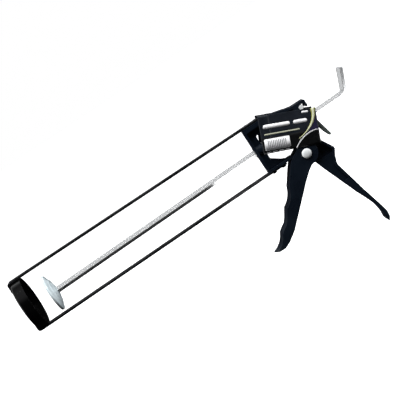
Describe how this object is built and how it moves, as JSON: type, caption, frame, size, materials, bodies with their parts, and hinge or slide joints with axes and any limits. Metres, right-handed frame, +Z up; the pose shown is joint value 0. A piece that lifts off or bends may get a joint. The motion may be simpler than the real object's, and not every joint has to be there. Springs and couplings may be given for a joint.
{
  "type": "caulking gun",
  "caption": "Skeleton caulking gun: black frame with fixed grip and sprung trigger, two straps to a front cup, and a bent hexagon push rod with a dished plunger.",
  "frame": {"origin": "where the push rod's line meets the frame's front face, against which the back of a cartridge rests", "axes": "+X from the nozzle end to the thumb end, +Z up with the grip hanging down, +Y across to the side that the nozzle slot opens to"},
  "size_m": [0.3995, 0.054, 0.1627],
  "materials": {
    "black_casting": "satin",
    "gloss_black": "gloss",
    "black_strap": "satin",
    "zinc_rod": "satin",
    "zinc_disc": "satin",
    "zinc_plate": "satin",
    "bright_rivet": "polished",
    "dark_steel": "satin",
    "grey_lever": "satin",
    "spring_wire": "satin",
    "printed_card": "matt print"
  },
  "bodies": {
    "frame": {"body_frame": "black_casting", "upper_strap": "black_strap", "lower_strap": "black_strap", "upper_strap_rivets": "black_strap", "lower_strap_rivets": "black_strap", "front_cup": "gloss_black", "cup_rivets": "black_strap", "trigger_rivet": "bright_rivet", "pivot_washer": "zinc_plate", "brake_pin": "bright_rivet", "drive_spring": "spring_wire", "brake_spring": "spring_wire", "card_sleeve": "printed_card"},
    "trigger": {"trigger": "black_casting", "drive_pin": "zinc_plate"},
    "drive_plate": {"drive_plate": "dark_steel"},
    "rod": {"push_rod": "zinc_rod", "plunger_washer": "zinc_plate", "plunger_nut": "zinc_plate"},
    "plunger": {"plunger_disc": "zinc_disc"},
    "brake_lever": {"brake_lever": "grey_lever"}
  },
  "joints": [
    {"name": "trigger_pivot", "type": "hinge", "parent": "frame", "child": "trigger", "pos_m": [0.0419, 0, -0.0276], "axis": [0, -1, 0], "range_deg": [0, 32], "stiffness_Nm_per_rad": 0.3, "springref_deg": -14.32},
    {"name": "drive_plate_slide", "type": "slide", "parent": "frame", "child": "drive_plate", "axis": [-1, 0, 0], "range_m": [0, 0.0095], "deforming": ["drive_spring"]},
    {"name": "rod_slide", "type": "slide", "parent": "frame", "child": "rod", "axis": [0.9999, 0, 0.0157], "range_m": [-0.018, 0.236]},
    {"name": "plunger_spin", "type": "hinge", "parent": "rod", "child": "plunger", "pos_m": [0.035, 0, 0], "axis": [0.9999, 0, 0.0157], "continuous": true},
    {"name": "brake_lever_pivot", "type": "hinge", "parent": "frame", "child": "brake_lever", "pos_m": [0.0623, 0, 0.0134], "axis": [0, 1, 0], "range_deg": [0, 9], "stiffness_Nm_per_rad": 0.15, "springref_deg": -11.46, "deforming": ["brake_spring"]}
  ],
  "couplings": [
    {"joint": "drive_plate_slide", "follows": "trigger_pivot", "m_per_rad": 0.01678}
  ]
}
